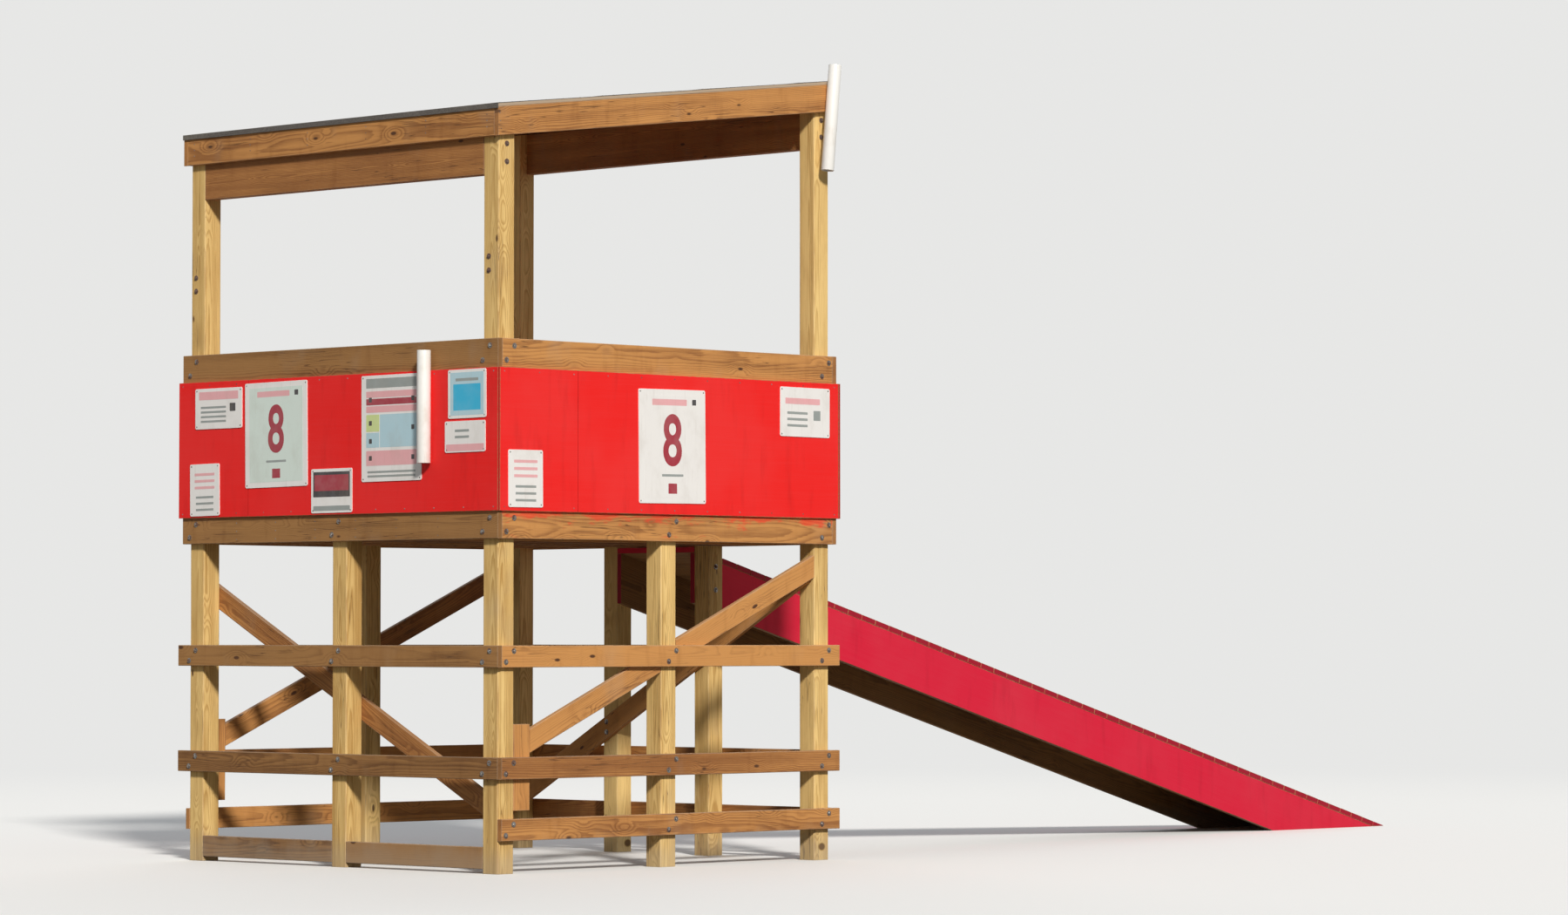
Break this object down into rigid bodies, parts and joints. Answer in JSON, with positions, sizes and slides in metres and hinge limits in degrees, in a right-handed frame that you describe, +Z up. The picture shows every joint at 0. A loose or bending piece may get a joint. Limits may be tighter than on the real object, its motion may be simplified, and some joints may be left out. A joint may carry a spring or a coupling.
{
  "type": "lifeguard tower",
  "caption": "Open timber lifeguard tower on braced legs: a railed deck with red guard panels, a sloping roof and a long straight ramp down to the ground.",
  "frame": {"origin": "on the ground, under the middle of the whole object's box, ramp included", "axes": "+Z up, +Y seaward along the ramp and away from the landward face, +X to the right of someone who looks at the landward face"},
  "size_m": [3.257, 10.8356, 5.3842],
  "materials": {
    "post_timber": "dry weathered pine",
    "framing_timber": "dry weathered pine",
    "deck_timber": "worn deck boards",
    "plywood": "bare plywood",
    "red_paint": "plywood painted red",
    "ramp_paint": "boards painted crimson",
    "roofing_felt": "mineral roofing felt",
    "white_tube": "white pipe"
  },
  "bodies": {
    "root": {"post_land_left": "post_timber", "post_land_right": "post_timber", "post_sea_left": "post_timber", "post_sea_right": "post_timber", "post_land_middle": "post_timber", "post_left_middle": "post_timber", "post_right_middle": "post_timber", "ramp_post_left": "post_timber", "ramp_post_right": "post_timber", "rails_land": "framing_timber", "rails_left": "framing_timber", "rails_right": "framing_timber", "rails_sea": "framing_timber", "brace_land": "framing_timber", "brace_sea": "framing_timber", "brace_left": "framing_timber", "brace_right": "framing_timber", "brace_cleats": "framing_timber", "rim_land": "framing_timber", "rim_left": "framing_timber", "rim_right": "framing_timber", "rim_sea": "framing_timber", "floor_joists": "framing_timber", "top_rail_land": "framing_timber", "top_rail_left": "framing_timber", "top_rail_right": "framing_timber", "top_rail_sea": "framing_timber", "header_land": "framing_timber", "header_sea": "framing_timber", "rafters": "framing_timber", "fascia_land": "framing_timber", "fascia_sea": "framing_timber", "barge_boards": "framing_timber", "deck_planks": "deck_timber", "roof_sheet": "plywood", "panel_land": "red_paint", "panel_left": "red_paint", "panel_right": "red_paint", "panel_sea": "red_paint", "ramp_stringer_left": "ramp_paint", "ramp_stringer_right": "ramp_paint", "ramp_planks": "ramp_paint", "roofing": "roofing_felt", "flag_tube_land": "white_tube", "flag_tube_corner": "white_tube"}
  },
  "joints": []
}
